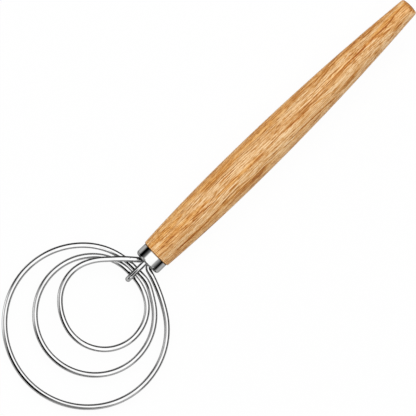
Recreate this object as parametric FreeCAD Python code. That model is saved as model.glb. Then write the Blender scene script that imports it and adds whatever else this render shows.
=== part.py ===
import FreeCAD, Part
import math
import os

from FreeCAD import Vector

# A dough whisk: a turned oak handle, a steel ferrule on its front, one long wire bent into three
# nested loops, a hairpin hook that ties the crossing strands, and the adhesive that holds the wires.
# Millimetres. X runs along the handle towards the loops, Z is square to the loops.
# The origin is on the handle's axis, at its thickest place, where the hand closes.

# Handle
GRIP_D = 22.5  # at the thickest place
GRIP_TO_SHOULDER = 65.6  # from there to the shoulder that the ferrule butts against
GRIP_TO_BUTT = 135.3  # from there to the end of the butt
BUTT_D = 10.9  # where the rear curve runs out at the butt
BUTT_CROWN = 0.8  # height of the domed end
BUTT_ROUND = 1.7  # radius between the side and the domed end
SHOULDER_STEP = 0.67  # wood standing proud of the ferrule
SHOULDER_ROUND = 0.5
TENON_WALL = 2.15  # wood left round the bore
TENON_SETBACK = 0.7  # end of the tenon, behind the start of the ferrule's rolled edge
BORE_DEPTH = 45.0
DRILL_POINT_ANGLE = 118.0

# Ferrule
FERRULE_LENGTH = 7.7
FERRULE_WALL = 1.05
FERRULE_FIT = 0.08  # between the tenon and the ferrule
RIM_CLEARANCE = 0.65  # the rim's hole over the bore
RIM_FLAT = 0.83  # width of the flat ring on the ferrule's front

# Wire
WIRE_D = 3.2
STRAND_GAP = 0.45  # clear space between two strands of the whisk wire
HOOK_GAP = 0.15  # clear space between the hook and the strands that it ties
BORE_CLEARANCE = 0.15  # between the outermost wire and the bore
BOND_GAP = 0.05  # between the adhesive and what it touches
TAIL_CLEARANCE = 3.0  # from the end of a wire to the bottom of the bore
HOOK_SIDE = -0.9  # the hook lies this far to the side of the axis
TAILS_SIDE = -0.4  # so do the two tails of the whisk wire, taken together

# Loops, in the order in which the wire makes them
NECK_REACH = 6.55  # from the ferrule's mouth to the nearer of the two tied strands
NEAR_RUN_IN = 4.2  # straight stretch of the nearer strand before the hook
FAR_RUN_IN = 0.2  # straight stretch of the farther strand before the hook
RUN_OUT = 3.6  # straight stretch of both after the hook
INNER_R = 24.2
MIDDLE_STEP = 9.65  # what the middle loop's radius adds to the inner one's
OUTER_STEP = 12.75  # what the outer loop's radius adds to the middle one's
OUTER_FLAT = 1.7  # the far end of the outer loop falls this short of its circle
INNER_NEAR = -0.45  # near side of the inner circle, past the farther tied strand
MIDDLE_NEAR = 0.95  # near side of the middle circle, past the nearer tied strand
OUTER_NEAR = 3.28  # near side of the outer circle, past the ferrule's mouth
INNER_SIDE = 0.85  # centre of the inner loop, to the side of the axis
MIDDLE_SIDE = 0.5  # centre of the middle loop, likewise
OUTER_SIDE = 1.43  # centre of the outer loop, likewise
SWING = 2.65  # the first strand swings this much wider than the inner loop

# First strand, from the bore over the two others and into the inner loop (degrees)
FIRST_SETBACK = 0.52  # corner of its bend, behind the mouth
FIRST_HEADING = -48.6
FIRST_SLOPE = 30.0
FIRST_BEND_R = 5.0
RISE_LENGTH = 8.6  # from the end of that bend to the top of its climb
TOP_HEADING = -47.0
OVER_ANGLE = -134.4  # place on the inner loop where it crosses the middle strand
OVER_HEADING = -42.5
SWING_ANGLE = -89.4  # place on the inner loop where its swing ends
SWING_HEADING = 3.0

# Places round each circle, in degrees, where the wire joins it and leaves it
NECK_ANGLE = 180.0  # side of a circle that faces the ferrule
INNER_ON = -14.4
INNER_OFF = 116.0
MIDDLE_ON = -108.0
MIDDLE_OFF = 147.0
OUTER_ON = -97.0
OUTER_OFF = 114.0

# Last strand, from the outer loop back into the bore
LAST_SETBACK = -1.18  # corner of its bend, in front of the mouth
LAST_HEADING = 75.0
LAST_BEND_R = 3.6

# Worked out from the sizes above
WIRE_R = WIRE_D / 2
STRAND_PITCH = WIRE_D + STRAND_GAP
HOOK_PITCH = WIRE_D + HOOK_GAP
BORE_R = math.hypot(HOOK_SIDE, HOOK_PITCH) + WIRE_R + BORE_CLEARANCE
TENON_R = BORE_R + TENON_WALL
FERRULE_BORE_R = TENON_R + FERRULE_FIT
FERRULE_R = FERRULE_BORE_R + FERRULE_WALL
RIM_R = BORE_R + RIM_CLEARANCE
FERRULE_EDGE_R = FERRULE_R - RIM_R - RIM_FLAT
SHOULDER_R = FERRULE_R + SHOULDER_STEP
MOUTH_X = GRIP_TO_SHOULDER + FERRULE_LENGTH
TENON_X = MOUTH_X - FERRULE_EDGE_R - TENON_SETBACK
BORE_END_X = TENON_X - BORE_DEPTH
TAIL_X = BORE_END_X + TAIL_CLEARANCE
FIRST_TAIL_Y = TAILS_SIDE - STRAND_PITCH / 2
LAST_TAIL_Y = TAILS_SIDE + STRAND_PITCH / 2
NEAR_STRAND_X = MOUTH_X + NECK_REACH
FAR_STRAND_X = NEAR_STRAND_X + STRAND_PITCH
MIDDLE_R = INNER_R + MIDDLE_STEP
OUTER_R = MIDDLE_R + OUTER_STEP
INNER_CENTRE = Vector(FAR_STRAND_X + INNER_NEAR + INNER_R, INNER_SIDE, 0)
MIDDLE_CENTRE = Vector(NEAR_STRAND_X + MIDDLE_NEAR + MIDDLE_R, MIDDLE_SIDE, 0)
OUTER_CENTRE = Vector(MOUTH_X + OUTER_NEAR + OUTER_R, OUTER_SIDE, 0)

AXIS = Vector(1, 0, 0)
TINY = 1e-6  # lengths under this count as nothing
SAMPLE_STEP = 0.5  # spacing of the points on which the wire's gap to itself is measured
NEIGHBOURS = 4 * WIRE_D  # points closer than this along the wire aren't compared


def turned(edges):
    """The solid that a closed outline in the XZ plane makes when it is turned about X."""
    outline = Part.Wire(Part.__sortEdges__(edges))
    return Part.Face(outline).revolve(Vector(), AXIS, 360)


def line(x0, z0, x1, z1):
    return Part.LineSegment(Vector(x0, 0, z0), Vector(x1, 0, z1)).toShape()


def arc(x0, z0, x1, z1, x2, z2):
    return Part.Arc(Vector(x0, 0, z0), Vector(x1, 0, z1), Vector(x2, 0, z2)).toShape()


def crown_radius(length, drop):
    """Radius of a curve that leaves x = 0 level and falls by drop at x = length."""
    return (length**2 + drop**2) / (2 * drop)


def crowned_arc(radius, start_r, end_x, end_r):
    """A curve that leaves x = 0 level at start_r and reaches end_r at end_x."""
    middle_x = end_x / 2
    middle_r = start_r - radius + math.sqrt(radius**2 - middle_x**2)
    return arc(0, start_r, middle_x, middle_r, end_x, end_r)


def rounded_shoulder(grip_r):
    """The curve from the grip to the shoulder, and the round that leads it into the shoulder."""
    radius = crown_radius(GRIP_TO_SHOULDER, grip_r - SHOULDER_R)
    centre_z = grip_r - radius
    round_x = GRIP_TO_SHOULDER - SHOULDER_ROUND
    round_rise = math.sqrt((radius - SHOULDER_ROUND) ** 2 - round_x**2)
    start_angle = math.atan2(round_rise, round_x)
    start_x = radius * math.cos(start_angle)
    start_z = centre_z + radius * math.sin(start_angle)
    return [
        crowned_arc(radius, grip_r, start_x, start_z),
        arc(
            start_x, start_z,
            round_x + SHOULDER_ROUND * math.cos(start_angle / 2),
            centre_z + round_rise + SHOULDER_ROUND * math.sin(start_angle / 2),
            GRIP_TO_SHOULDER, centre_z + round_rise,
        ),
        line(GRIP_TO_SHOULDER, centre_z + round_rise, GRIP_TO_SHOULDER, TENON_R),
    ]


def edges_at(solid, x, radius):
    """The round edges of a turned solid at one place along X and one radius."""
    found = []
    for edge in solid.Edges:
        box = edge.BoundBox
        flat = box.XLength < TINY and abs(box.XMin - x) < TINY
        if flat and abs(box.ZMax - radius) < TINY:
            found.append(edge)
    return found


def make_handle():
    grip_r = GRIP_D / 2
    butt_r = BUTT_D / 2
    rim_x = BUTT_CROWN - GRIP_TO_BUTT
    crown_r = (butt_r**2 + BUTT_CROWN**2) / (2 * BUTT_CROWN)
    half_r = butt_r / 2
    half_x = crown_r - GRIP_TO_BUTT - math.sqrt(crown_r**2 - half_r**2)
    rear_radius = crown_radius(rim_x, grip_r - butt_r)
    body = turned([
        line(-GRIP_TO_BUTT, 0, TENON_X, 0),
        line(TENON_X, 0, TENON_X, TENON_R),
        line(TENON_X, TENON_R, GRIP_TO_SHOULDER, TENON_R),
        *rounded_shoulder(grip_r),
        crowned_arc(rear_radius, grip_r, rim_x, butt_r),
        arc(rim_x, butt_r, half_x, half_r, -GRIP_TO_BUTT, 0),
    ])
    body = body.makeFillet(BUTT_ROUND, edges_at(body, rim_x, butt_r))
    point_depth = BORE_R / math.tan(math.radians(DRILL_POINT_ANGLE / 2))
    drill = turned([
        line(BORE_END_X - point_depth, 0, TENON_X + TENON_SETBACK, 0),
        line(TENON_X + TENON_SETBACK, 0, TENON_X + TENON_SETBACK, BORE_R),
        line(TENON_X + TENON_SETBACK, BORE_R, BORE_END_X, BORE_R),
        line(BORE_END_X, BORE_R, BORE_END_X - point_depth, 0),
    ])
    return body.cut(drill)


def make_ferrule():
    edge_x = MOUTH_X - FERRULE_EDGE_R
    edge_z = FERRULE_R - FERRULE_EDGE_R
    inner_r = FERRULE_EDGE_R - FERRULE_WALL
    diagonal = math.sqrt(0.5)
    return turned([
        line(GRIP_TO_SHOULDER, FERRULE_BORE_R, GRIP_TO_SHOULDER, FERRULE_R),
        line(GRIP_TO_SHOULDER, FERRULE_R, edge_x, FERRULE_R),
        arc(
            edge_x, FERRULE_R,
            edge_x + FERRULE_EDGE_R * diagonal, edge_z + FERRULE_EDGE_R * diagonal,
            MOUTH_X, edge_z,
        ),
        line(MOUTH_X, edge_z, MOUTH_X, RIM_R),
        line(MOUTH_X, RIM_R, MOUTH_X - FERRULE_WALL, RIM_R),
        line(MOUTH_X - FERRULE_WALL, RIM_R, MOUTH_X - FERRULE_WALL, edge_z),
        arc(
            MOUTH_X - FERRULE_WALL, edge_z,
            edge_x + inner_r * diagonal, edge_z + inner_r * diagonal,
            edge_x, FERRULE_BORE_R,
        ),
        line(edge_x, FERRULE_BORE_R, GRIP_TO_SHOULDER, FERRULE_BORE_R),
    ])


def direction(heading, slope=0.0):
    """A unit vector from a compass heading about Z and a climb, in degrees."""
    level = math.cos(math.radians(slope))
    return Vector(
        level * math.cos(math.radians(heading)),
        level * math.sin(math.radians(heading)),
        math.sin(math.radians(slope)),
    )


def tangent_arc(start, corner, end):
    """The arc that touches start-corner and corner-end, which are equally long."""
    middle = (start + end) * 0.5
    height = (corner - middle).Length
    if height < TINY:
        return Part.LineSegment(start, end).toShape()
    half_turn = math.asin(height / (corner - start).Length)
    share = math.cos(half_turn) / (1 + math.cos(half_turn))
    return Part.Arc(start, middle + (corner - middle) * share, end).toShape()


def biarc(start, end):
    """Two arcs in a row that leave one (point, direction) and arrive at another."""
    point_0, way_0 = start
    point_1, way_1 = end
    span = point_1 - point_0
    a = 2 * (1 - way_0.dot(way_1))
    b = 2 * span.dot(way_0 + way_1)
    c = span.dot(span)
    reach = 2 * c / (b + math.sqrt(b * b + 4 * a * c))
    corner_0 = point_0 + way_0 * reach
    corner_1 = point_1 - way_1 * reach
    join = (corner_0 + corner_1) * 0.5
    return [tangent_arc(point_0, corner_0, join), tangent_arc(join, corner_1, point_1)]


def on_circle(centre, radius, angle):
    """The point at an angle round a loop, going round it anticlockwise."""
    return centre + direction(angle) * radius, direction(angle + 90)


def tail_bend(tail_y, setback, way, radius):
    """Start and end of the bend where a tail that runs along X turns to another way."""
    corner = Vector(MOUTH_X - setback, tail_y, 0)
    length = radius * math.tan(math.acos(AXIS.dot(way)) / 2)
    return corner - AXIS * length, corner + way * length


def whisk_stations():
    """Points and directions along the whisk wire, joined by biarcs."""
    first_way = direction(FIRST_HEADING, FIRST_SLOPE)
    first_start, first_end = tail_bend(FIRST_TAIL_Y, FIRST_SETBACK, first_way, FIRST_BEND_R)
    top = first_end + direction(FIRST_HEADING) * RISE_LENGTH
    top.z = STRAND_PITCH
    lift = Vector(0, 0, STRAND_PITCH)
    over = on_circle(INNER_CENTRE, INNER_R + SWING, OVER_ANGLE)[0] + lift
    swing = on_circle(INNER_CENTRE, INNER_R + SWING, SWING_ANGLE)[0] + lift
    last_way = direction(LAST_HEADING)
    last_start, last_end = tail_bend(LAST_TAIL_Y, LAST_SETBACK, last_way, LAST_BEND_R)
    stations = [
        (Vector(TAIL_X, FIRST_TAIL_Y, 0), AXIS),
        (first_start, AXIS),
        (first_end, first_way),
        (top, direction(TOP_HEADING)),
        (over, direction(OVER_HEADING)),
        (swing, direction(SWING_HEADING)),
    ]
    stations += lowered_loop()
    stations += tied_strand(FAR_STRAND_X, FAR_RUN_IN)
    stations += loop_stations(MIDDLE_CENTRE, MIDDLE_R, 0, MIDDLE_ON, MIDDLE_OFF)
    stations += tied_strand(NEAR_STRAND_X, NEAR_RUN_IN)
    stations += loop_stations(OUTER_CENTRE, OUTER_R, OUTER_FLAT, OUTER_ON, OUTER_OFF)
    stations += [
        (last_end, -last_way),
        (last_start, -AXIS),
        (Vector(TAIL_X, LAST_TAIL_Y, 0), -AXIS),
    ]
    return stations


def tied_strand(x, run_in):
    """The straight stretch that passes through the hook, square to the handle."""
    back = direction(-90)
    return [
        (Vector(x, HOOK_SIDE + run_in, 0), back),
        (Vector(x, HOOK_SIDE - RUN_OUT, 0), back),
    ]


def loop_stations(centre, radius, flat, on_angle, off_angle):
    """Three places on a level loop: where the wire joins it, its far end, and where it leaves."""
    return [
        on_circle(centre, radius, on_angle),
        on_circle(centre, radius - flat, 0),
        on_circle(centre, radius, off_angle),
    ]


def lowered_loop():
    """Three places on the inner loop, which comes down evenly from the lifted strand to the neck."""
    turn = NECK_ANGLE - SWING_ANGLE
    fall = math.degrees(math.atan(STRAND_PITCH / (INNER_R * math.radians(turn))))
    stations = []
    for angle in (INNER_ON, (INNER_ON + INNER_OFF) / 2, INNER_OFF):
        point = on_circle(INNER_CENTRE, INNER_R, angle)[0]
        point.z = STRAND_PITCH * (NECK_ANGLE - angle) / turn
        stations.append((point, direction(angle + 90, -fall)))
    return stations


def swept(path, start, way):
    """Round wire along a path of tangent edges."""
    section = Part.Wire(Part.makeCircle(WIRE_R, start, way))
    return Part.Wire(path).makePipeShell([section], True, False)


def whisk_path():
    stations = whisk_stations()
    path = []
    for start, end in zip(stations, stations[1:]):
        path += biarc(start, end)
    return path


def make_whisk_wire():
    return swept(whisk_path(), Vector(TAIL_X, FIRST_TAIL_Y, 0), AXIS)


def hook_path():
    """A hairpin whose end is bent round the farther of the two tied strands."""
    top = Vector(TAIL_X, HOOK_SIDE, HOOK_PITCH)
    bend = Vector(FAR_STRAND_X, HOOK_SIDE, HOOK_PITCH)
    tip = Vector(FAR_STRAND_X + HOOK_PITCH, HOOK_SIDE, 0)
    low = Vector(FAR_STRAND_X, HOOK_SIDE, -HOOK_PITCH)
    end = Vector(TAIL_X, HOOK_SIDE, -HOOK_PITCH)
    down = Vector(0, 0, -1)
    path = [Part.LineSegment(top, bend).toShape()]
    path += biarc((bend, AXIS), (tip, down))
    path += biarc((tip, down), (low, -AXIS))
    path.append(Part.LineSegment(low, end).toShape())
    return path


def make_hook_wire():
    return swept(hook_path(), Vector(TAIL_X, HOOK_SIDE, HOOK_PITCH), AXIS)


def make_bond_plug():
    """Adhesive that fills the bore up to the end of the tenon, round the four tails."""
    back_x = BORE_END_X + BOND_GAP
    plug = Part.makeCylinder(BORE_R - BOND_GAP, TENON_X - back_x, Vector(back_x, 0, 0), AXIS)
    tails = [
        (FIRST_TAIL_Y, 0),
        (LAST_TAIL_Y, 0),
        (HOOK_SIDE, HOOK_PITCH),
        (HOOK_SIDE, -HOOK_PITCH),
    ]
    hole_x = TAIL_X - BOND_GAP
    for y, z in tails:
        hole = Part.makeCylinder(
            WIRE_R + BOND_GAP, MOUTH_X - hole_x, Vector(hole_x, y, z), AXIS
        )
        plug = plug.cut(hole)
    return plug


def points_along(path):
    """Points along a path, each with its distance from the start."""
    points = []
    travelled = 0.0
    for edge in path:
        count = max(2, math.ceil(edge.Length / SAMPLE_STEP) + 1)
        for index, point in enumerate(edge.discretize(count)):
            points.append((travelled + edge.Length * index / (count - 1), point))
        travelled += edge.Length
    return points


def least_gap(path):
    """The least clear space between two stretches of a wire that aren't neighbours."""
    points = points_along(path)
    least = math.inf
    for index, (place, point) in enumerate(points):
        for other_place, other in points[index + 1:]:
            if other_place - place > NEIGHBOURS:
                least = min(least, point.distanceToPoint(other))
    return least - WIRE_D


def report_wire(name, path, solid):
    length = sum(edge.Length for edge in path)
    radii = [edge.Curve.Radius for edge in path if isinstance(edge.Curve, Part.Circle)]
    share = solid.Volume / (math.pi * WIRE_R**2 * length)
    print(f"{name}: length {length:.1f} mm, tightest bend {min(radii):.2f} mm, volume share {share:.4f}")


pieces = {
    "handle": make_handle(),
    "ferrule": make_ferrule(),
    "whisk_wire": make_whisk_wire(),
    "hook_wire": make_hook_wire(),
    "bond_plug": make_bond_plug(),
}

os.makedirs("parts", exist_ok=True)
for name, solid in pieces.items():
    solid.exportStep(f"parts/{name}.step")
    print(f"{name}: {len(solid.Solids)} solid, valid {solid.isValid()}, {solid.Volume:.1f} mm3")

report_wire("whisk_wire", whisk_path(), pieces["whisk_wire"])
report_wire("hook_wire", hook_path(), pieces["hook_wire"])
print(f"whisk_wire: least gap to itself {least_gap(whisk_path()):.2f} mm")
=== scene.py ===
import math
from typing import NamedTuple

import bpy
from mathutils import Matrix, Vector

bl_info = {
    "name": "Dough Whisk",
    "version": (1, 0, 0),
    "blender": (4, 5, 0),
    "location": "View3D > Sidebar > Dough Whisk",
    "description": "Finishes a dough whisk in oiled oak and polished steel, and sets a studio round it",
    "category": "Object",
}

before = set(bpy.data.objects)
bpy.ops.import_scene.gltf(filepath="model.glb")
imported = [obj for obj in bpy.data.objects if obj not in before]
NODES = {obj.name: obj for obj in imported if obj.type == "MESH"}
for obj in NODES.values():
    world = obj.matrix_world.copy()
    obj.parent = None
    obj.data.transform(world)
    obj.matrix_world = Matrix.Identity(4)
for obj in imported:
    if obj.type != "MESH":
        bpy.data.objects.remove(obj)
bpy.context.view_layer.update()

MILLIMETRES = 1000.0  # in a metre
WHITE = (1.0, 1.0, 1.0, 1.0)
BLACK = (0.0, 0.0, 0.0, 1.0)


def colour_property(name, description, default):
    return bpy.props.FloatVectorProperty(
        name=name, description=description, default=default,
        subtype="COLOR", size=3, min=0.0, max=1.0,
    )


def length_property(name, description, default):
    return bpy.props.FloatProperty(
        name=name, description=description, default=default, unit="LENGTH", min=0.0, precision=5,
    )


def share_property(name, description, default):
    return bpy.props.FloatProperty(
        name=name, description=description, default=default, subtype="FACTOR", min=0.0, max=1.0,
    )


def angle_property(name, description, default):
    return bpy.props.FloatProperty(
        name=name, description=description, default=math.radians(default), subtype="ANGLE",
    )


def level_property(name, description, default):
    return bpy.props.FloatProperty(name=name, description=description, default=default, min=0.0)


class OakSettings(bpy.types.PropertyGroup):
    """Colours and figure of the handle's oak."""

    brown: colour_property("Brown", "Open pores and late wood lines", (0.335, 0.108, 0.012))
    chestnut: colour_property("Chestnut", "Darker streaks", (0.50, 0.211, 0.046))
    honey: colour_property("Honey", "Main colour of the oiled oak", (0.62, 0.301, 0.090))
    straw: colour_property("Straw", "Lighter streaks", (0.72, 0.40, 0.155))
    cream: colour_property("Cream", "Palest streaks", (0.90, 0.63, 0.355))
    amber: colour_property("Amber", "Tint of the deep orange patches", (1.0, 0.83, 0.51))
    ring_spacing: length_property("Ring spacing", "From one growth ring to the next", 0.0031)
    oil_roughness: share_property("Oil roughness", "Roughness of the oiled surface", 0.48)


class SteelSettings(bpy.types.PropertyGroup):
    """Finish of the ferrule and the wires."""

    ferrule_colour: colour_property("Ferrule", "Colour of the ferrule's steel", (0.60, 0.60, 0.593))
    wire_colour: colour_property("Wire", "Colour of the wire's steel", (0.61, 0.61, 0.61))
    ferrule_roughness: share_property("Ferrule roughness", "Roughness of the ferrule", 0.06)
    wire_roughness: share_property("Wire roughness", "Roughness of the wires", 0.05)
    ferrule_edge: colour_property(
        "Ferrule edge", "Colour of the ferrule where it turns away", (0.5, 0.5, 0.5),
    )
    wire_edge: colour_property(
        "Wire edge", "Colour of the wire where it turns away", (0.2, 0.2, 0.2),
    )


class StageSettings(bpy.types.PropertyGroup):
    """Floor, light and camera."""

    floor_colour: colour_property("Floor", "Colour of the floor", (0.90, 0.90, 0.90))
    sky_level: level_property("Sky", "Light from all round", 0.34)
    softbox_level: level_property("Softbox", "Brightness of the softbox overhead", 1.85)
    roof_level: level_property("Tent roof", "Brightness of the roof that the steel mirrors", 1.73)
    side_level: level_property("Side card", "Brightness of the card beside the loops", 1.7)
    lean: angle_property("Lean", "How far the whisk leans forward on its handle", 3.0)
    lens: bpy.props.FloatProperty(
        name="Lens", description="Focal length", default=800.0, unit="CAMERA", min=20.0,
    )


class Noise(NamedTuple):
    """A noise: how quickly it changes along X, Y and Z, per millimetre, its detail and roughness."""

    stretch: tuple
    detail: float
    roughness: float


def set_inputs(tree, made, inputs):
    """Give a node its inputs: sockets are linked, anything else is set as a value."""
    for name, value in inputs.items():
        if isinstance(value, bpy.types.NodeSocket):
            tree.links.new(value, made.inputs[name])
        else:
            made.inputs[name].default_value = value


def node(tree, kind, inputs=None, **settings):
    """A new node with its settings and its inputs."""
    made = tree.nodes.new(kind)
    for name, value in settings.items():
        setattr(made, name, value)
    set_inputs(tree, made, inputs or {})
    return made


def calc(tree, operation, first, second=0.0, third=0.0):
    inputs = {0: first, 1: second, 2: third}
    return node(tree, "ShaderNodeMath", inputs, operation=operation).outputs[0]


def product(tree, first, *others):
    for other in others:
        first = calc(tree, "MULTIPLY", first, other)
    return first


def largest(tree, first, *others):
    for other in others:
        first = calc(tree, "MAXIMUM", first, other)
    return first


def distance(tree, first, second):
    """How far apart two values are."""
    return calc(tree, "ABSOLUTE", calc(tree, "SUBTRACT", first, second))


def vector_calc(tree, operation, first, second=(0.0, 0.0, 0.0)):
    made = node(tree, "ShaderNodeVectorMath", {0: first, 1: second}, operation=operation)
    return made.outputs["Value" if operation == "LENGTH" else "Vector"]


def split(tree, vector):
    """The X, Y and Z of a vector."""
    return node(tree, "ShaderNodeSeparateXYZ", {0: vector}).outputs


def remap(tree, value, low, high, to_low=0.0, to_high=1.0):
    """A smooth step from one range to another."""
    inputs = {"Value": value, "From Min": low, "From Max": high, "To Min": to_low, "To Max": to_high}
    return node(tree, "ShaderNodeMapRange", inputs, interpolation_type="SMOOTHSTEP").outputs[0]


def fall(tree, value, low, high, top=1.0):
    """A smooth step down to nothing."""
    return remap(tree, value, low, high, top, 0.0)


def window(tree, value, centre, inner, outer):
    """1 within a distance of a centre, smoothly down to 0 at a greater one."""
    return fall(tree, distance(tree, value, centre), inner, outer)


def tint(tree, share, first, second, way="MIX"):
    inputs = {0: share, 6: first, 7: second}
    return node(tree, "ShaderNodeMix", inputs, data_type="RGBA", blend_type=way).outputs[2]


def noise(tree, vector, scale=1.0, detail=2.0, roughness=0.5, distortion=0.0):
    inputs = {
        "Vector": vector, "Scale": scale, "Detail": detail,
        "Roughness": roughness, "Distortion": distortion,
    }
    return node(tree, "ShaderNodeTexNoise", inputs).outputs[0]


def stretched_noise(tree, vector, kind):
    stretched = vector_calc(tree, "MULTIPLY", vector, kind.stretch)
    return noise(tree, stretched, detail=kind.detail, roughness=kind.roughness)


def bump(tree, height, strength, reach, invert=False):
    inputs = {"Strength": strength, "Distance": reach, "Height": height}
    return node(tree, "ShaderNodeBump", inputs, invert=invert).outputs[0]


def opaque(colour):
    return (*colour, 1.0)


def colour_ramp(tree, value, stops):
    """Colours along a value from 0 to 1."""
    made = node(tree, "ShaderNodeValToRGB", {"Fac": value})
    bar = made.color_ramp.elements
    while len(bar) < len(stops):
        bar.new(1.0)
    for element, (place, colour) in zip(bar, stops):
        element.position = place
        element.color = opaque(colour)
    return made.outputs["Color"]


def new_group(name, inputs, outputs):
    """An empty shader node group, with its input and output nodes."""
    tree = bpy.data.node_groups.new(name, "ShaderNodeTree")
    for label, kind in inputs:
        tree.interface.new_socket(name=label, in_out="INPUT", socket_type="NodeSocket" + kind)
    for label, kind in outputs:
        tree.interface.new_socket(name=label, in_out="OUTPUT", socket_type="NodeSocket" + kind)
    return tree, tree.nodes.new("NodeGroupInput"), tree.nodes.new("NodeGroupOutput")


def use_group(tree, name, inputs):
    """The outputs of a node group that is given its inputs."""
    return node(tree, "ShaderNodeGroup", inputs, node_tree=bpy.data.node_groups[name]).outputs


def new_material(name):
    """A material with one Principled BSDF, and its Object coordinates in millimetres."""
    material = bpy.data.materials.new(name)
    material.use_nodes = True
    tree = material.node_tree
    shader = tree.nodes["Principled BSDF"]
    place = node(tree, "ShaderNodeTexCoord").outputs["Object"]
    millimetres = vector_calc(tree, "MULTIPLY", place, (MILLIMETRES, MILLIMETRES, MILLIMETRES))
    return material, tree, shader, millimetres


def set_surface(tree, shader):
    tree.links.new(shader, tree.nodes["Material Output"].inputs["Surface"])


def dress(piece, material):
    piece.data.materials.clear()
    piece.data.materials.append(material)


# How the fibres wander to the sides: stretch of the noise, its detail, and the reach in millimetres
SLOW_WANDER = ((0.013, 0.02, 0.02), 1.0, 4.5)
QUICK_WANDER = ((0.028, 0.1, 0.1), 0.0, 0.6)
# They also bend aside towards the front: the place where that starts, and how fast it grows
BEND_START = 12.0
BEND_GROWTH = 0.0009


def wander(tree, place, stretch, detail, reach):
    """A shift across the fibres that changes slowly from place to place."""
    stretched = vector_calc(tree, "MULTIPLY", place, stretch)
    inputs = {"Vector": stretched, "Scale": 1.0, "Detail": detail}
    cloud = node(tree, "ShaderNodeTexNoise", inputs).outputs["Color"]
    centred = vector_calc(tree, "SUBTRACT", cloud, (0.5, 0.5, 0.5))
    return vector_calc(tree, "MULTIPLY", centred, (0.0, reach, reach))


def make_grain_space():
    """Oak coordinates with the fibres along X: they wander far for the figure, less for strokes."""
    tree, given, result = new_group(
        "Grain Space", [("Place", "Vector")], [("Grain", "Vector"), ("Stroke", "Vector")],
    )
    place = given.outputs["Place"]
    front = calc(tree, "SUBTRACT", split(tree, place)["X"], BEND_START)
    front = calc(tree, "MAXIMUM", front, 0.0)
    aside = product(tree, front, front, BEND_GROWTH)
    bend = node(tree, "ShaderNodeCombineXYZ", {"Y": aside}).outputs[0]
    near = vector_calc(tree, "ADD", place, wander(tree, place, *QUICK_WANDER))
    far = vector_calc(tree, "ADD", wander(tree, place, *SLOW_WANDER), bend)
    set_inputs(tree, result, {"Grain": vector_calc(tree, "ADD", near, far), "Stroke": near})


# The pith beside and below the handle: its lean along the handle, and its distance in millimetres
PITH_BESIDE = (0.016, 62.0)
PITH_BELOW = (-0.02, 36.0)
# Shares of a year between which its wood changes
LATE_WOOD_START = (0.62, 0.97)
LATE_WOOD_END = (0.97, 1.0)
EARLY_WOOD_END = (0.02, 0.5)


def make_growth_rings():
    """Rings round a pith that lies outside the handle, counted in years."""
    tree, given, result = new_group(
        "Growth Rings",
        [("Grain", "Vector"), ("Spacing", "Float")],
        [("Years", "Float"), ("Late Wood", "Float"), ("Early Wood", "Float")],
    )
    grain = split(tree, given.outputs["Grain"])
    beside = calc(tree, "MULTIPLY_ADD", grain["X"], *PITH_BESIDE)
    below = calc(tree, "MULTIPLY_ADD", grain["X"], *PITH_BELOW)
    from_pith = node(tree, "ShaderNodeCombineXYZ", {
        "Y": calc(tree, "ADD", grain["Y"], beside), "Z": calc(tree, "ADD", grain["Z"], below),
    }).outputs[0]
    radius = vector_calc(tree, "LENGTH", from_pith)
    years = calc(tree, "DIVIDE", radius, given.outputs["Spacing"])
    year = calc(tree, "FRACT", years)
    late = remap(tree, year, *LATE_WOOD_START)
    set_inputs(tree, result, {
        "Years": years,
        "Late Wood": product(tree, late, fall(tree, year, *LATE_WOOD_END)),
        "Early Wood": fall(tree, year, *EARLY_WOOD_END),
    })


# Grain lines: how they waver and how far, in lines, and the noise over which they come and go
LINE_WAVER = Noise((0.025, 0.4, 0.4), 1.0, 0.5)
LINE_WAVER_REACH = 3.0
LINE_BREAKS = Noise((0.04, 0.7, 0.7), 2.0, 0.6)
LINE_SHOWS = (0.42, 0.62)


def make_grain_lines():
    """Thin lines between the growth rings, broken into lengths that come and go."""
    tree, given, result = new_group(
        "Grain Lines",
        [("Grain", "Vector"), ("Years", "Float"), ("Count", "Float"), ("Width", "Float")],
        [("Lines", "Float")],
    )
    grain = given.outputs["Grain"]
    waver = product(tree, stretched_noise(tree, grain, LINE_WAVER), LINE_WAVER_REACH)
    place = calc(tree, "MULTIPLY_ADD", given.outputs["Years"], given.outputs["Count"], waver)
    off = distance(tree, calc(tree, "FRACT", place), 0.5)
    line = fall(tree, off, 0.0, given.outputs["Width"])
    gate = remap(tree, stretched_noise(tree, grain, LINE_BREAKS), *LINE_SHOWS)
    set_inputs(tree, result, {"Lines": product(tree, line, gate)})


# Oak pores: a noise for each size, the range over which it opens into pores, and their strength.
# Coarse pores open at a higher level in late wood than in early wood
COARSE_PORES = Noise((0.15, 1.35, 1.35), 1.0, 0.4)
COARSE_LEVELS = (0.64, 0.59)
COARSE_EDGE = 0.09
FINE_PORES = Noise((0.21, 1.9, 1.9), 1.0, 0.4)
FINE_RANGE = (0.58, 0.68)
FINE_STRENGTH = 0.95
SLITS = Noise((0.3, 5.5, 5.5), 1.0, 0.4)
SLIT_RANGE = (0.60, 0.67)
SLIT_STRENGTH = 0.9


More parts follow.
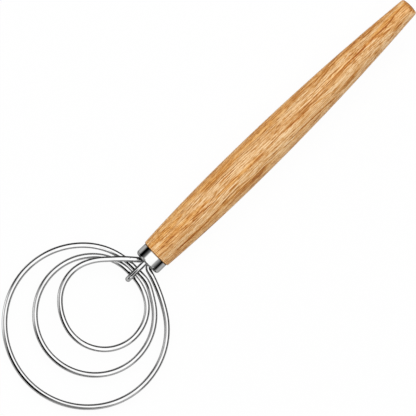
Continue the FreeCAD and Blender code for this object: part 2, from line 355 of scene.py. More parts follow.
def make_oak_pores():
    """Open pores: short dark dashes along the fibres, in three sizes, closer in early wood."""
    tree, given, result = new_group(
        "Oak Pores", [("Grain", "Vector"), ("Early Wood", "Float")], [("Pores", "Float")],
    )
    grain = given.outputs["Grain"]
    coarse = stretched_noise(tree, grain, COARSE_PORES)
    level = remap(tree, given.outputs["Early Wood"], 0.0, 1.0, *COARSE_LEVELS)
    big = remap(tree, coarse, level, calc(tree, "ADD", level, COARSE_EDGE))
    fine = stretched_noise(tree, grain, FINE_PORES)
    small = remap(tree, fine, *FINE_RANGE, 0.0, FINE_STRENGTH)
    thin = stretched_noise(tree, grain, SLITS)
    slits = remap(tree, thin, *SLIT_RANGE, 0.0, SLIT_STRENGTH)
    set_inputs(tree, result, {"Pores": largest(tree, big, small, slits)})


# A stroke's shape, in the order of the tables below
STROKE_SHAPE = ("Along", "Across", "Length", "Width", "Slope", "Bow")
STROKE_CORE = 0.15  # share of its half width that shows fully
STROKE_FADE = 0.35  # share of its taper over which an end fades in
STROKE_SIDE = 3.0  # height over the axis, in millimetres, from which it shows fully
LEAST_TAPER = 0.001


def make_long_stroke():
    """One long mark on the handle's upper side, drawn out to a point at both ends. Most are grain;
    those near the +Y edge are painted shade.
    """
    tree, given, result = new_group(
        "Grain Stroke",
        [("Stroke", "Vector"), *((label, "Float") for label in STROKE_SHAPE)],
        [("Mark", "Float")],
    )
    shape = given.outputs
    place = split(tree, shape["Stroke"])
    run = calc(tree, "SUBTRACT", place["X"], shape["Along"])
    share = calc(tree, "DIVIDE", product(tree, run, 2.0), shape["Length"])
    square = product(tree, share, share)
    line = calc(tree, "MULTIPLY_ADD", run, shape["Slope"], shape["Across"])
    line = calc(tree, "MULTIPLY_ADD", square, shape["Bow"], line)
    taper = calc(tree, "SUBTRACT", 1.0, square)
    half = product(tree, shape["Width"], calc(tree, "MAXIMUM", taper, LEAST_TAPER))
    off = calc(tree, "DIVIDE", distance(tree, place["Y"], line), half)
    mark = fall(tree, off, STROKE_CORE, 1.0)
    fade = remap(tree, taper, 0.0, STROKE_FADE)
    upper = remap(tree, place["Z"], 0.0, STROKE_SIDE)
    set_inputs(tree, result, {"Mark": product(tree, mark, fade, upper)})


# Fine scratches: the noise over which they come and go, the level of a hair line at no density, how
# far full density lowers it, and its edge. Smudges: the noise over which they come in
SCRATCH_SHOWS = (0.42, 0.62)
SCRATCH_LEVEL = 0.75
SCRATCH_DROP = 0.2
SCRATCH_EDGE = 0.08
SMUDGE_SHOWS = (0.38, 0.68)


def make_fine_scratches():
    """Hair lines and soft smudges that handling leaves on a hard surface."""
    tree, given, result = new_group(
        "Fine Scratches",
        [("Place", "Vector"), ("Stretch", "Vector"), ("Density", "Float")],
        [("Scratches", "Float"), ("Smudges", "Float")],
    )
    place = given.outputs["Place"]
    stretched = vector_calc(tree, "MULTIPLY", place, given.outputs["Stretch"])
    hair = noise(tree, stretched, detail=3.0, roughness=0.6, distortion=0.4)
    gate = remap(tree, noise(tree, place, scale=0.35), *SCRATCH_SHOWS)
    drop = product(tree, given.outputs["Density"], SCRATCH_DROP)
    level = calc(tree, "SUBTRACT", SCRATCH_LEVEL, drop)
    scratch = remap(tree, hair, level, calc(tree, "ADD", level, SCRATCH_EDGE))
    cloud = noise(tree, place, scale=0.16, detail=4.0, roughness=0.6)
    set_inputs(tree, result, {
        "Scratches": product(tree, scratch, gate),
        "Smudges": remap(tree, cloud, *SMUDGE_SHOWS),
    })


# Strokes that stand out in the oak: place along and across the handle, length, half width, slope and
# bow, in millimetres, and how strongly each one shows. The dark and amber ones at 7 mm and more
# across, along the +Y edge, are painted shade on that side of the handle
DARK_STROKES_AND_SIDE_SHADE = (
    (-95.5, -1.25, 54.0, 0.95, 0.0, -0.2, 1.0),
    (-121.5, -1.8, 12.0, 0.75, 0.2, 0.0, 0.8),
    (-58.8, -0.75, 30.0, 0.6, 0.03, 0.0, 0.7),
    (-62.2, 2.7, 17.0, 0.6, -0.13, 0.2, 0.6),
    (-44.6, 1.4, 24.0, 0.7, -0.015, 0.1, 0.85),
    (-81.9, -6.9, 37.0, 0.65, 0.058, 1.4, 0.75),
    (-78.5, -8.0, 28.0, 0.6, 0.067, 0.3, 0.6),
    (-91.5, -3.6, 10.0, 0.55, 0.0, 0.0, 0.65),
    (-113.6, 0.85, 13.0, 0.6, -0.11, 0.0, 0.65),
    (-121.5, 3.5, 9.0, 0.55, 0.0, 0.0, 0.65),
    (-127.7, -2.5, 7.0, 0.6, 0.05, 0.0, 0.75),
    (-84.0, 5.6, 15.0, 0.6, 0.0, 0.1, 0.6),
    # painted shade on the handle's +Y side
    (-53.5, 7.1, 36.0, 0.7, 0.01, 0.2, 0.6),
    (5.9, -3.25, 14.0, 0.6, -0.01, 0.0, 0.85),
    (29.2, 1.0, 19.0, 0.75, -0.12, 0.1, 0.85),
    (7.2, 3.6, 9.0, 0.65, 0.0, 0.0, 0.8),
    # these two paint shade on the handle's +Y side
    (10.8, 7.1, 38.0, 0.9, -0.028, 0.2, 0.7),
    (43.0, 7.1, 32.0, 0.9, -0.01, 0.1, 0.8),
    (48.0, 0.0, 21.0, 0.7, -0.084, 0.0, 0.6),
    (-14.3, 1.6, 11.0, 0.7, 0.0, 0.0, 0.7),
    (-108.0, -5.9, 50.0, 1.4, -0.05, 0.0, 0.45),
)
AMBER_STROKES_AND_SIDE_SHADE = (
    (8.0, -7.5, 34.0, 2.3, 0.0, 0.6, 1.0),
    (-33.0, -8.2, 60.0, 2.3, 0.0, 0.3, 0.85),
    (42.0, -1.4, 46.0, 2.4, -0.02, 0.2, 0.9),
    (1.0, 1.2, 42.0, 1.7, 0.0, 0.0, 0.9),
    # painted shade on the handle's +Y side
    (22.0, 7.6, 90.0, 2.8, 0.0, 0.2, 0.5),
    (-122.0, -2.8, 34.0, 2.2, 0.03, 0.0, 1.0),
    (-126.0, -0.5, 40.0, 6.5, 0.0, 0.0, 0.4),
    (-70.0, -8.2, 150.0, 3.0, -0.045, 0.0, 0.85),
    (20.0, -9.0, 110.0, 3.0, 0.012, 0.5, 0.9),
    (52.0, 0.6, 40.0, 3.0, -0.01, 0.1, 0.5),
    # painted shade on the handle's +Y side
    (-20.0, 9.2, 190.0, 2.6, 0.0, -0.6, 0.35),
    (54.0, -5.5, 34.0, 3.2, 0.01, 0.0, 0.9),
)
CREAM_STROKES = (
    (1.3, -3.2, 38.0, 1.5, -0.01, 0.2, 0.9),
    (27.6, -5.9, 22.0, 1.1, -0.02, 0.1, 0.65),
    (-51.0, -3.5, 26.0, 1.5, 0.02, 0.2, 0.65),
    (-81.0, 2.2, 36.0, 1.6, -0.02, 0.2, 0.5),
    (43.0, -7.4, 52.0, 2.4, 0.0, 0.2, 0.55),
    (-55.0, -7.2, 110.0, 3.2, -0.035, 0.0, 0.3),
    (-76.0, 7.4, 90.0, 2.4, 0.03, 0.0, 0.35),
)


def strokes_of(tree, place, strokes):
    """The strongest of a set of strokes at each place."""
    shown = []
    for *shape, strength in strokes:
        inputs = {"Stroke": place, **dict(zip(STROKE_SHAPE, shape))}
        mark = use_group(tree, "Grain Stroke", inputs)["Mark"]
        shown.append(product(tree, mark, strength))
    return largest(tree, *shown)


# Places along the tool, in millimetres from the grip, between which its surface changes
END_GRAIN_AND_RIM_SHADE_OUT = (-134.8, -132.8)  # end grain at the butt, darker, with painted shade on its rounded rim
EDGE_WEAR_IN = (64.3, 64.9)  # pale wear on the edge of the shoulder
EDGE_WEAR_OUT = (65.2, 65.4)
SEAM_IN = (65.3, 65.55)  # dark line against the ferrule
TENON_IN = (65.8, 66.4)  # tenon inside the ferrule, near black
SEAM_SHADE_OUT = (65.75, 66.35)  # painted shade and painted reflection of the wood on the ferrule's rear edge
LIP_DULL_IN = (71.3, 72.5)  # duller polish on the ferrule's lip
LIP_SHADE_IN = (72.1, 72.9)  # painted shade, darker towards the inside of the lip

# Noises in the oak, from broad to fine, and the blotches of amber
BANDS = Noise((0.009, 0.3, 0.3), 2.0, 0.5)
STREAKS = Noise((0.024, 0.85, 0.85), 3.0, 0.65)
FIBRES = Noise((0.045, 2.1, 2.1), 2.0, 0.5)
HAIRS = Noise((0.16, 7.0, 7.0), 2.0, 0.5)
BLOTCHES = Noise((0.01, 0.12, 0.12), 2.0, 0.5)
BLOTCH_RANGE = (0.48, 0.70)
BLOTCH_STRENGTH = 0.6
LINES_IN_A_YEAR = 2.8
LINE_WIDTH = 0.34

# The oak's tone: where it starts, what streaks add, and for every other part what it adds and the value
# at which it adds nothing
TONE_START = 0.48
STREAK_WEIGHT = 0.35
TONE_WEIGHTS = {
    "fibres": (1.8, 0.5),
    "hairs": (0.6, 0.5),
    "bands": (0.6, 0.5),
    "lines": (-0.6, 0.15),
    "late wood": (-0.14, 0.2),
    "pores": (-0.5, 0.19),
    "dark strokes and side shade": (-0.64, 0.0),
    "amber strokes and side shade": (-0.06, 0.0),
    "cream strokes": (0.24, 0.0),
    "edge wear": (0.1, 0.0),
    "seam": (-1.0, 0.0),
    "end grain and rim shade": (-0.34, 0.0),
}
# The tone at which each of the settings' colours lies
TONES = (("brown", 0.03), ("chestnut", 0.24), ("honey", 0.45), ("straw", 0.68), ("cream", 0.97))
# Amber share of the butt's end grain and of the painted shade on its rim
END_GRAIN_AND_RIM_SHADE_AMBER = 0.6
TENON_COLOUR = (0.012, 0.008, 0.005, 1.0)
# What fibres and pores add to the oak's roughness and height
FIBRE_ROUGHNESS = 0.12
PORE_ROUGHNESS = 0.2
FIBRE_HEIGHT = 0.3
PORE_HEIGHT = -1.0


def oak_parts(tree, settings, place):
    """Every part of the oak's figure, with the painted shade on its +Y edge and butt rim, as a share
    from 0 to 1.
    """
    space = use_group(tree, "Grain Space", {"Place": place})
    grain = space["Grain"]
    stroke = space["Stroke"]
    spacing = settings.ring_spacing * MILLIMETRES
    rings = use_group(tree, "Growth Rings", {"Grain": grain, "Spacing": spacing})
    pores = use_group(tree, "Oak Pores", {"Grain": grain, "Early Wood": rings["Early Wood"]})
    lines = use_group(tree, "Grain Lines", {
        "Grain": grain, "Years": rings["Years"], "Count": LINES_IN_A_YEAR, "Width": LINE_WIDTH,
    })
    blotches = stretched_noise(tree, grain, BLOTCHES)
    along = split(tree, place)["X"]
    worn = remap(tree, along, *EDGE_WEAR_IN)
    return {
        "streaks": stretched_noise(tree, grain, STREAKS),
        "fibres": stretched_noise(tree, grain, FIBRES),
        "hairs": stretched_noise(tree, grain, HAIRS),
        "bands": stretched_noise(tree, grain, BANDS),
        "blotches": remap(tree, blotches, *BLOTCH_RANGE, 0.0, BLOTCH_STRENGTH),
        "lines": lines["Lines"],
        "late wood": rings["Late Wood"],
        "pores": pores["Pores"],
        # the dark and amber strokes include painted shade along the handle's +Y edge
        "dark strokes and side shade": strokes_of(tree, stroke, DARK_STROKES_AND_SIDE_SHADE),
        "amber strokes and side shade": strokes_of(tree, stroke, AMBER_STROKES_AND_SIDE_SHADE),
        "cream strokes": strokes_of(tree, stroke, CREAM_STROKES),
        "edge wear": product(tree, worn, fall(tree, along, *EDGE_WEAR_OUT)),
        "seam": remap(tree, along, *SEAM_IN),
        "tenon": remap(tree, along, *TENON_IN),
        # end grain, with painted shade on the butt's rounded rim
        "end grain and rim shade": fall(tree, along, *END_GRAIN_AND_RIM_SHADE_OUT),
    }


def oak_colour(tree, settings, parts):
    """The oak's tone, turned into colours and tinted with amber."""
    tone = calc(tree, "MULTIPLY_ADD", parts["streaks"], STREAK_WEIGHT, TONE_START)
    for name, (weight, rest) in TONE_WEIGHTS.items():
        lowered = calc(tree, "SUBTRACT", tone, weight * rest)
        tone = calc(tree, "MULTIPLY_ADD", parts[name], weight, lowered)
    stops = [(place, getattr(settings, name)) for name, place in TONES]
    # the amber tint also falls on the painted shade of the +Y strokes and of the butt's rim
    amber = largest(
        tree, parts["blotches"], parts["amber strokes and side shade"], parts["dark strokes and side shade"],
        product(tree, parts["end grain and rim shade"], END_GRAIN_AND_RIM_SHADE_AMBER),
    )
    colour = colour_ramp(tree, tone, stops)
    colour = tint(tree, amber, colour, opaque(settings.amber), "MULTIPLY")
    return tint(tree, parts["tenon"], colour, TENON_COLOUR)


def make_oak(settings):
    """Oiled oak, rougher and a little lower in its pores."""
    material, tree, shader, place = new_material("Oiled Oak")
    parts = oak_parts(tree, settings, place)
    fibres = parts["fibres"]
    pores = parts["pores"]
    smooth = settings.oil_roughness - FIBRE_ROUGHNESS / 2
    roughness = calc(tree, "MULTIPLY_ADD", fibres, FIBRE_ROUGHNESS, smooth)
    height = calc(tree, "MULTIPLY_ADD", fibres, FIBRE_HEIGHT, product(tree, pores, PORE_HEIGHT))
    set_inputs(tree, shader, {
        "Base Color": oak_colour(tree, settings, parts),
        "Roughness": calc(tree, "MULTIPLY_ADD", pores, PORE_ROUGHNESS, roughness),
        "Normal": bump(tree, height, strength=0.4, reach=0.00014),
        "Specular IOR Level": 0.3,
    })
    return material


# Steel: how often it is scratched, what smudges do to its colour, and what adds to its roughness
SCRATCH_DENSITY = 0.5
SMUDGE_DULLING = 0.86
SMUDGE_SHARE = 0.6
SMUDGE_ROUGHNESS = 0.04
SMUDGE_OFFSET = -0.015
SCRATCH_ROUGHNESS = 0.16
# The ferrule's lip: what wear adds to its roughness and what its painted shade takes from its light,
# then the colour of the painted shade and painted reflection of the wood on its rear edge
LIP_ROUGHNESS = 0.12
LIP_SHADE_DEPTH = 0.5
SEAM_SHADE_COLOUR = (0.11, 0.055, 0.018, 1.0)
# How quickly scratches change along X, Y and Z: they run round the ferrule, and level on the wires
FERRULE_STRETCH = (7.0, 0.25, 0.25)
WIRE_STRETCH = (1.6, 1.6, 5.0)


def make_steel(name, colour, roughness, edge, stretch, wear=None):
    """Polished steel with fine scratches and smudges, and wear and painted shade of its own if a
    function adds them.
    """
    material, tree, shader, place = new_material(name)
    marks = use_group(tree, "Fine Scratches", {
        "Place": place, "Stretch": stretch, "Density": SCRATCH_DENSITY,
    })
    smudges = marks["Smudges"]
    scratches = marks["Scratches"]
    dull = tuple(SMUDGE_DULLING * value for value in colour)
    shown = tint(tree, product(tree, smudges, SMUDGE_SHARE), opaque(colour), opaque(dull))
    rough = calc(tree, "MULTIPLY_ADD", smudges, SMUDGE_ROUGHNESS, roughness + SMUDGE_OFFSET)
    rough = calc(tree, "MULTIPLY_ADD", scratches, SCRATCH_ROUGHNESS, rough)
    if wear:
        shown, rough = wear(tree, place, shown, rough)
    set_inputs(tree, shader, {
        "Base Color": shown,
        "Metallic": 1.0,
        "Roughness": rough,
        "Normal": bump(tree, scratches, strength=0.12, reach=0.00003, invert=True),
        "Specular Tint": opaque(edge),
    })
    return material


def wear_and_shade_ferrule(tree, place, shown, rough):
    """A dull lip with painted shade inside it, and painted shade and painted reflection of the wood
    along the rear edge.
    """
    along = split(tree, place)["X"]
    rough = calc(tree, "MULTIPLY_ADD", remap(tree, along, *LIP_DULL_IN), LIP_ROUGHNESS, rough)
    # painted shade: the lip darkens towards its inside
    dark = product(tree, remap(tree, along, *LIP_SHADE_IN), LIP_SHADE_DEPTH)
    shown = tint(tree, dark, shown, BLACK)
    # painted shade and painted reflection of the wood along the ferrule's rear edge
    shown = tint(tree, fall(tree, along, *SEAM_SHADE_OUT), shown, SEAM_SHADE_COLOUR)
    return shown, rough


# Adhesive: its two colours and the noise over which they change, then the noise over which its
# roughness changes, and its least and most
ADHESIVE_DARK = (0.010, 0.009, 0.008, 1.0)
ADHESIVE_PALE = (0.024, 0.021, 0.018, 1.0)
ADHESIVE_CLOUD = (0.35, 0.7)
ADHESIVE_SPOTS = (0.3, 0.7)
ADHESIVE_ROUGHNESS = (0.18, 0.38)


def make_adhesive():
    """Cured adhesive: nearly black, cloudy and a little uneven."""
    material, tree, shader, place = new_material("Cured Adhesive")
    cloud = noise(tree, place, scale=0.6, detail=4.0, roughness=0.6)
    spots = noise(tree, place, scale=1.5, detail=3.0)
    pale = remap(tree, cloud, *ADHESIVE_CLOUD)
    set_inputs(tree, shader, {
        "Base Color": tint(tree, pale, ADHESIVE_DARK, ADHESIVE_PALE),
        "Roughness": remap(tree, spots, *ADHESIVE_SPOTS, *ADHESIVE_ROUGHNESS),
        "Normal": bump(tree, cloud, strength=0.4, reach=0.0002),
    })
    return material


class WHISK_OT_grain_groups(bpy.types.Operator):
    """Build the node groups that the finishes share"""

    bl_idname = "whisk.grain_groups"
    bl_label = "Shared Patterns"

    def execute(self, context):
        make_grain_space()
        make_growth_rings()
        make_grain_lines()
        make_oak_pores()
        make_long_stroke()
        make_fine_scratches()
        return {"FINISHED"}


class WHISK_OT_handle(bpy.types.Operator):
    """Finish the turned handle in oiled oak"""

    bl_idname = "whisk.handle"
    bl_label = "Oak Handle"

    def execute(self, context):
        dress(NODES["handle"], make_oak(context.scene.whisk_oak))
        return {"FINISHED"}


class WHISK_OT_ferrule(bpy.types.Operator):
    """Finish the ferrule in polished steel"""

    bl_idname = "whisk.ferrule"
    bl_label = "Ferrule"

    def execute(self, context):
        steel = context.scene.whisk_steel
        material = make_steel(
            "Ferrule Steel", steel.ferrule_colour[:], steel.ferrule_roughness,
            steel.ferrule_edge[:], FERRULE_STRETCH, wear_and_shade_ferrule,
        )
        dress(NODES["ferrule"], material)
        return {"FINISHED"}


class WHISK_OT_wires(bpy.types.Operator):
    """Finish the looped wire and its hook in drawn steel"""

    bl_idname = "whisk.wires"
    bl_label = "Wires"

    def execute(self, context):
        steel = context.scene.whisk_steel
        material = make_steel(
            "Wire Steel", steel.wire_colour[:], steel.wire_roughness,
            steel.wire_edge[:], WIRE_STRETCH,
        )
        for name in ("whisk_wire", "hook_wire"):
            dress(NODES[name], material)
        return {"FINISHED"}


class WHISK_OT_adhesive(bpy.types.Operator):
    """Finish the adhesive round the wires' tails"""

    bl_idname = "whisk.adhesive"
    bl_label = "Adhesive"

    def execute(self, context):
        dress(NODES["bond_plug"], make_adhesive())
        return {"FINISHED"}


# The photograph's frame: the width that it shows, its middle, and how far +X points up in it
FIELD_WIDTH = 0.2349
FRAME_CENTRE = Vector((0.02646, 0.00191, 0.0))
AXIS_UP_SHARE = -0.69919
# The camera's sensor in millimetres, and how far it sees in metres
SENSOR_WIDTH = 36.0
FAR_CLIP = 100.0

# The floor: its size in metres, how bright its flecks are against the rest, and its share of plain
# white where it is seen
FLOOR_SIZE = 16.0
FLOOR_FLECK = 0.985
FLOOR_WHITE_SHARE = 0.955


class Softbox(NamedTuple):
    """An area lamp: its share of the softbox level, then its size, its centre and the point that it
    faces, in metres."""

    name: str
    share: float
    size: tuple
    centre: tuple
    aim: tuple


SOFTBOXES = (
    Softbox("overhead", 1.0, (2.5, 2.1), (-0.85, -0.2, 1.5), (-0.85, -0.2, 0.0)),
    Softbox("side", 0.6, (0.9, 0.7), (0.75, -0.8, 0.75), (0.06, 0.0, 0.0)),
)


class Patch(NamedTuple):
    """A patch of the tent: where it faces, how far to each side it is even and how far it reaches,
    the angles from the zenith between which it changes, all in degrees, and its level at both."""

    facing: float
    even: float
    reach: float
    upper: float
    lower: float
    upper_level: float
    lower_level: float


# A tent round the whisk, in metres
TENT_CENTRE = (0.09, 0.0, 0.0)
TENT_RADIUS = 3.0
# The roof's edge in degrees from the zenith: at the sides, how much lower it is behind and ahead, and
# how far it is soft
ROOF_EDGE = 41.0
ROOF_BEHIND = 25.0
ROOF_AHEAD = 28.0
ROOF_SOFTNESS = 9.0
# Patches where the roof is thinner or open
GAP = Patch(-48.0, 14.0, 32.0, 12.0, 26.0, 0.0, 0.65)
DOOR = Patch(-6.0, 13.0, 28.0, 2.0, 10.0, 0.0, 1.0)
# Patches of light below the roof. The strip also ends at one side and at its foot
STRIP = Patch(70.0, 14.0, 46.0, 46.0, 64.0, 0.0, 0.8)
STRIP_SIDE = (77.0, 86.0)
STRIP_FOOT = (88.0, 104.0)
WALL = Patch(95.0, 12.0, 50.0, 38.0, 80.0, 0.64, 0.0)
REAR = Patch(-80.0, 30.0, 60.0, 38.0, 72.0, 0.34, 0.0)
GLOW = Patch(-50.0, 12.0, 22.0, 80.0, 110.0, 0.53, 0.0)
# Light from the ground: darker behind, and dusky on one side but for a beam straight to that side
GROUND_TURN = (20.0, 80.0)
GROUND_LEVELS = (0.27, 0.72)
DUSK = (-118.0, 42.0, 58.0)
DUSK_BEAM = -90.0
DUSK_BEAM_EDGE = (5.0, 14.0)
DUSK_DEPTH = -0.7
# It rises straight ahead: how wide that is, then for its start and for where it is full the change
# ahead and the angle from the zenith elsewhere
GROUND_AHEAD = (0.0, 25.0, 60.0)
GROUND_START = (-18.0, 86.0)
GROUND_FULL = (-24.0, 112.0)

# A black flag over the loops that thins to a net: its centre and size in metres, the ends of its soft
# edge and of its thinning in thousandths of its width, and how much the net covers
FLAG_CENTRE = (0.245, 0.041, 0.045)
FLAG_SIZE = (0.17, 0.158)
FLAG_EDGE = (-500.0, -437.0)
FLAG_THINS = (-234.0, -70.0)
FLAG_NET = 0.8
FELT_NOISE = (0.3, 0.7)
FELT_LEVELS = (0.002, 0.006)


class Card(NamedTuple):
    """A round soft-edged card that steel within its reach mirrors: the setting of its level, or none
    for black, its reach, centre and size in metres, and its turn in degrees."""

    name: str
    level: str
    reach: float
    centre: tuple
    size: tuple
    turn: tuple


# Shares of a card's size between which it fades out, and the share of its reach where it shows fully
CARD_EDGE = (0.25, 0.5)
CARD_FULL_REACH = 0.8
CARDS = (
    Card("side_card", "side_level", 1.0, (0.195, -0.085, 0.01), (0.08, 0.08), (90.0, 0.0, 40.0)),
    Card("hook_card", "", 1.0, (0.083, -0.0009, 0.0092), (0.0115, 0.0078), (0.0, 0.0, 0.0)),
    Card("lip_card", "roof_level", 1.0, (0.0765, 0.0, 0.016), (0.018, 0.016), (0.0, 0.0, 0.0)),
    Card("left_card", "", 0.0078, (0.0744, 0.0098, 0.0072), (0.0068, 0.0068), (90.0, 0.0, -29.0)),
    Card("right_card", "", 0.0078, (0.0744, -0.0098, 0.0072), (0.0062, 0.0062), (90.0, 0.0, 29.0)),
)


def floor_up(lean):
    """The floor's upward direction, when the whisk leans forward on its handle."""
    return Vector((-math.sin(lean), 0.0, math.cos(lean)))


def lowest_along(name, way):
    """How far down a CAD node reaches, measured along a direction."""
    return min(way.dot(vertex.co) for vertex in NODES[name].data.vertices)


def white_share(tree):
    """1 for the rays that show the white background: those of the camera, of gloss and of glass."""
    path = node(tree, "ShaderNodeLightPath").outputs
    rays = ("Is Camera Ray", "Is Glossy Ray", "Is Transmission Ray")
    return largest(tree, *(path[name] for name in rays))


def emission(tree, level):
    """White light of a level, given as a value or as a socket."""
    return node(tree, "ShaderNodeEmission", {"Color": WHITE, "Strength": level}).outputs[0]


def make_floor_material(settings):
    """A matt pale floor that is nearly plain white where it is seen, and takes shadows."""
    material, tree, shader, place = new_material("Pale Floor")
    speck = noise(tree, place, scale=0.02, detail=3.0)
    fleck = tuple(value * FLOOR_FLECK for value in settings.floor_colour)
    colour = tint(tree, speck, opaque(fleck), opaque(settings.floor_colour))
    set_inputs(tree, shader, {"Base Color": colour, "Roughness": 0.9, "Specular IOR Level": 0.0})
    share = product(tree, white_share(tree), FLOOR_WHITE_SHARE)
    inputs = {0: share, 1: shader.outputs[0], 2: emission(tree, 1.0)}
    set_surface(tree, node(tree, "ShaderNodeMixShader", inputs).outputs[0])
    return material


def make_world(settings):
    """A white sky that lights less than it shows."""
    world = bpy.data.worlds.new("Studio")
    bpy.context.scene.world = world
    world.use_nodes = True
    tree = world.node_tree
    sky = settings.sky_level
    strength = calc(tree, "MULTIPLY_ADD", white_share(tree), 1.0 - sky, sky)
    set_inputs(tree, tree.nodes["Background"], {"Color": WHITE, "Strength": strength})


def new_mirrored_material(name):
    """A material for what the steel mirrors, with no shader yet. It isn't sampled as a lamp."""
    material = bpy.data.materials.new(name)
    material.use_nodes = True
    material.cycles.emission_sampling = "NONE"
    tree = material.node_tree
    tree.nodes.remove(tree.nodes["Principled BSDF"])
    return material, tree, node(tree, "ShaderNodeTexCoord").outputs["Object"]


def patch_level(tree, turn, zenith, patch):
    """The level of one patch of the tent in each direction."""
    side = window(tree, turn, patch.facing, patch.even, patch.reach)
    height = remap(
        tree, zenith, patch.upper, patch.lower, patch.upper_level, patch.lower_level,
    )
    return product(tree, side, height)


def tent_roof(tree, settings, heading, turn, zenith):
    """A white roof, lower behind and ahead, thinner at the gap and open at the door."""
    ahead = calc(tree, "COSINE", heading)
    behind = calc(tree, "MINIMUM", ahead, 0.0)
    before = calc(tree, "MAXIMUM", ahead, 0.0)
    edge = calc(tree, "MULTIPLY_ADD", product(tree, behind, behind), ROOF_BEHIND, ROOF_EDGE)
    edge = calc(tree, "MULTIPLY_ADD", product(tree, before, before), ROOF_AHEAD, edge)
    start = calc(tree, "SUBTRACT", edge, ROOF_SOFTNESS)
    end = calc(tree, "ADD", edge, ROOF_SOFTNESS)
    roof = fall(tree, zenith, start, end, settings.roof_level)
    for opening in (GAP, DOOR):
        open_share = patch_level(tree, turn, zenith, opening)
        roof = product(tree, roof, calc(tree, "SUBTRACT", 1.0, open_share))
    return roof


def tent_ground(tree, turn, zenith):
    """Soft light from low down."""
    from_behind = distance(tree, calc(tree, "ABSOLUTE", turn), 180.0)
    shade = remap(tree, from_behind, *GROUND_TURN, *GROUND_LEVELS)
    beside_beam = remap(tree, distance(tree, turn, DUSK_BEAM), *DUSK_BEAM_EDGE)
    dusk = product(tree, window(tree, turn, *DUSK), beside_beam)
    shade = product(tree, shade, calc(tree, "MULTIPLY_ADD", dusk, DUSK_DEPTH, 1.0))
    ahead = window(tree, turn, *GROUND_AHEAD)
    start = calc(tree, "MULTIPLY_ADD", ahead, *GROUND_START)
    full = calc(tree, "MULTIPLY_ADD", ahead, *GROUND_FULL)
    return product(tree, remap(tree, zenith, start, full), shade)


def make_tent_material(settings):
    """What the steel sees: a white roof with a dark doorway ahead, and soft light low down."""
    material, tree, place = new_mirrored_material("Light Tent")
    way = split(tree, vector_calc(tree, "NORMALIZE", place))
    zenith = calc(tree, "DEGREES", calc(tree, "ARCCOSINE", way["Z"]))
    heading = calc(tree, "ARCTAN2", way["Y"], way["X"])
    turn = calc(tree, "DEGREES", heading)
    strip = product(
        tree, patch_level(tree, turn, zenith, STRIP),
        fall(tree, turn, *STRIP_SIDE), fall(tree, zenith, *STRIP_FOOT),
    )
    patches = [patch_level(tree, turn, zenith, patch) for patch in (WALL, REAR, GLOW)]
    roof = tent_roof(tree, settings, heading, turn, zenith)
    ground = tent_ground(tree, turn, zenith)
    set_surface(tree, emission(tree, largest(tree, roof, strip, *patches, ground)))
    return material


def make_flag_material():
    """Black felt that thins to a net across the flag."""
    material, tree, shader, place = new_material("Far Flag")
    felt = remap(tree, noise(tree, place, scale=0.4, detail=3.0), *FELT_NOISE, *FELT_LEVELS)
    inputs = {"Red": felt, "Green": felt, "Blue": felt}
    across = split(tree, place)["Y"]
    cover = remap(tree, across, *FLAG_THINS, 1.0, FLAG_NET)
    set_inputs(tree, shader, {
        "Base Color": node(tree, "ShaderNodeCombineColor", inputs).outputs[0],
        "Roughness": 1.0,
        "Specular IOR Level": 0.0,
        "Alpha": product(tree, cover, remap(tree, across, *FLAG_EDGE)),
    })
    return material


def make_card_material(name, level, reach):
    """A card that fades out towards its edge, and past its reach."""
    material, tree, place = new_mirrored_material(name)
    share = fall(tree, vector_calc(tree, "LENGTH", place), *CARD_EDGE)
    length = node(tree, "ShaderNodeLightPath").outputs["Ray Length"]
    share = product(tree, share, fall(tree, length, CARD_FULL_REACH * reach, reach))
    clear = node(tree, "ShaderNodeBsdfTransparent").outputs[0]
    inputs = {0: share, 1: clear, 2: emission(tree, level)}
    set_surface(tree, node(tree, "ShaderNodeMixShader", inputs).outputs[0])
    return material


def add_softbox(box, level):
    """An area lamp whose brightness is given as seen from in front of it."""
    width, height = box.size
    lamp = bpy.data.lights.new(box.name, "AREA")
    lamp.shape = "RECTANGLE"
    lamp.size = width
    lamp.size_y = height
    lamp.energy = box.share * level * math.pi * width * height
    holder = bpy.data.objects.new(box.name, lamp)
    back = (Vector(box.centre) - Vector(box.aim)).normalized()
    turn = back.to_track_quat("Z", "Y").to_matrix().to_4x4()
    holder.matrix_world = Matrix.Translation(box.centre) @ turn
    holder.visible_camera = False
    holder.visible_glossy = False
    bpy.context.scene.collection.objects.link(holder)


def show_in_mirrors_only(piece):
    piece.visible_camera = False
    piece.visible_diffuse = False
    piece.visible_shadow = False
    piece.visible_transmission = False


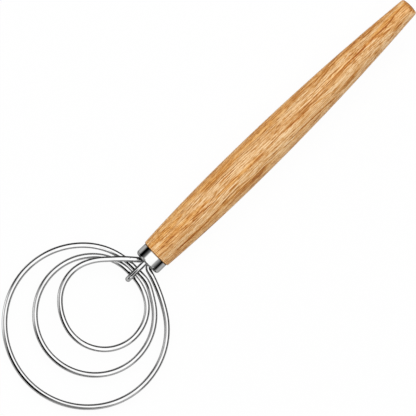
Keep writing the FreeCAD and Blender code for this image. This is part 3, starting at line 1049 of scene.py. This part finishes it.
class WHISK_OT_stage(bpy.types.Operator):
    """Lay the floor, set the light and place the camera"""

    bl_idname = "whisk.stage"
    bl_label = "Stage"

    def execute(self, context):
        settings = context.scene.whisk_stage
        up = floor_up(settings.lean)
        self.lay_floor(settings, up)
        for box in SOFTBOXES:
            add_softbox(box, settings.softbox_level)
        self.pitch_tent(settings)
        self.hang("far_flag", make_flag_material(), FLAG_CENTRE, FLAG_SIZE)
        for card in CARDS:
            level = getattr(settings, card.level) if card.level else 0.0
            title = card.name.replace("_", " ").title()
            material = make_card_material(title, level, card.reach)
            self.hang(card.name, material, card.centre, card.size, card.turn)
        self.place_camera(settings, up)
        make_world(settings)
        context.scene.view_settings.view_transform = "Standard"
        return {"FINISHED"}

    def lay_floor(self, settings, up):
        bpy.ops.object.select_all(action="DESELECT")
        depth = min(lowest_along(name, up) for name in NODES)
        bpy.ops.mesh.primitive_plane_add(size=FLOOR_SIZE)
        floor = bpy.context.object
        floor.name = "floor"
        turn = up.to_track_quat("Z", "Y").to_matrix().to_4x4()
        floor.matrix_world = Matrix.Translation(up * depth) @ turn
        floor.data.materials.append(make_floor_material(settings))
        floor.visible_glossy = False

    def pitch_tent(self, settings):
        bpy.ops.object.select_all(action="DESELECT")
        bpy.ops.mesh.primitive_uv_sphere_add(
            segments=48, ring_count=24, radius=TENT_RADIUS, location=TENT_CENTRE,
        )
        tent = bpy.context.object
        tent.name = "light_tent"
        tent.data.materials.append(make_tent_material(settings))
        show_in_mirrors_only(tent)

    def hang(self, name, material, centre, size, turn=(0.0, 0.0, 0.0)):
        """The flag or a card, which only the steel near it mirrors."""
        bpy.ops.object.select_all(action="DESELECT")
        rotation = [math.radians(angle) for angle in turn]
        bpy.ops.mesh.primitive_plane_add(size=1.0, location=centre, rotation=rotation)
        flag = bpy.context.object
        flag.name = name
        flag.scale = (*size, 1.0)
        flag.data.materials.append(material)
        show_in_mirrors_only(flag)

    def place_camera(self, settings, up):
        """A camera square to the floor, with the photograph's frame."""
        camera = bpy.data.cameras.new("camera")
        camera.lens = settings.lens
        camera.sensor_width = SENSOR_WIDTH
        camera.clip_end = FAR_CLIP
        holder = bpy.data.objects.new("camera", camera)
        bpy.context.scene.collection.objects.link(holder)
        picture_up = Vector((AXIS_UP_SHARE, -math.sqrt(1.0 - AXIS_UP_SHARE**2), 0.0))
        picture_up = (picture_up - up * up.dot(picture_up)).normalized()
        right = picture_up.cross(up)
        height = FIELD_WIDTH * settings.lens / SENSOR_WIDTH
        turn = Matrix((right, picture_up, up)).transposed().to_4x4()
        holder.matrix_world = Matrix.Translation(FRAME_CENTRE + up * height) @ turn
        bpy.context.scene.camera = holder


class VIEW3D_PT_dough_whisk(bpy.types.Panel):
    """Dough whisk: finishes and stage"""

    bl_label = "Dough Whisk"
    bl_space_type = "VIEW_3D"
    bl_region_type = "UI"
    bl_category = "Dough Whisk"

    def draw(self, context):
        scene = context.scene
        for settings in (scene.whisk_oak, scene.whisk_steel, scene.whisk_stage):
            box = self.layout.box()
            for name in settings.__annotations__:
                box.prop(settings, name)
        for operator in OPERATORS:
            self.layout.operator(operator.bl_idname)


SETTINGS = {"whisk_oak": OakSettings, "whisk_steel": SteelSettings, "whisk_stage": StageSettings}
OPERATORS = (
    WHISK_OT_grain_groups,
    WHISK_OT_handle,
    WHISK_OT_ferrule,
    WHISK_OT_wires,
    WHISK_OT_adhesive,
    WHISK_OT_stage,
)
CLASSES = (*SETTINGS.values(), *OPERATORS, VIEW3D_PT_dough_whisk)


def register():
    for kind in CLASSES:
        bpy.utils.register_class(kind)
    for name, kind in SETTINGS.items():
        setattr(bpy.types.Scene, name, bpy.props.PointerProperty(type=kind))


def unregister():
    for name in SETTINGS:
        delattr(bpy.types.Scene, name)
    for kind in reversed(CLASSES):
        bpy.utils.unregister_class(kind)


def main():
    register()
    bpy.ops.whisk.grain_groups()
    bpy.ops.whisk.handle()
    bpy.ops.whisk.ferrule()
    bpy.ops.whisk.wires()
    bpy.ops.whisk.adhesive()
    bpy.ops.whisk.stage()


if __name__ == "__main__":
    main()
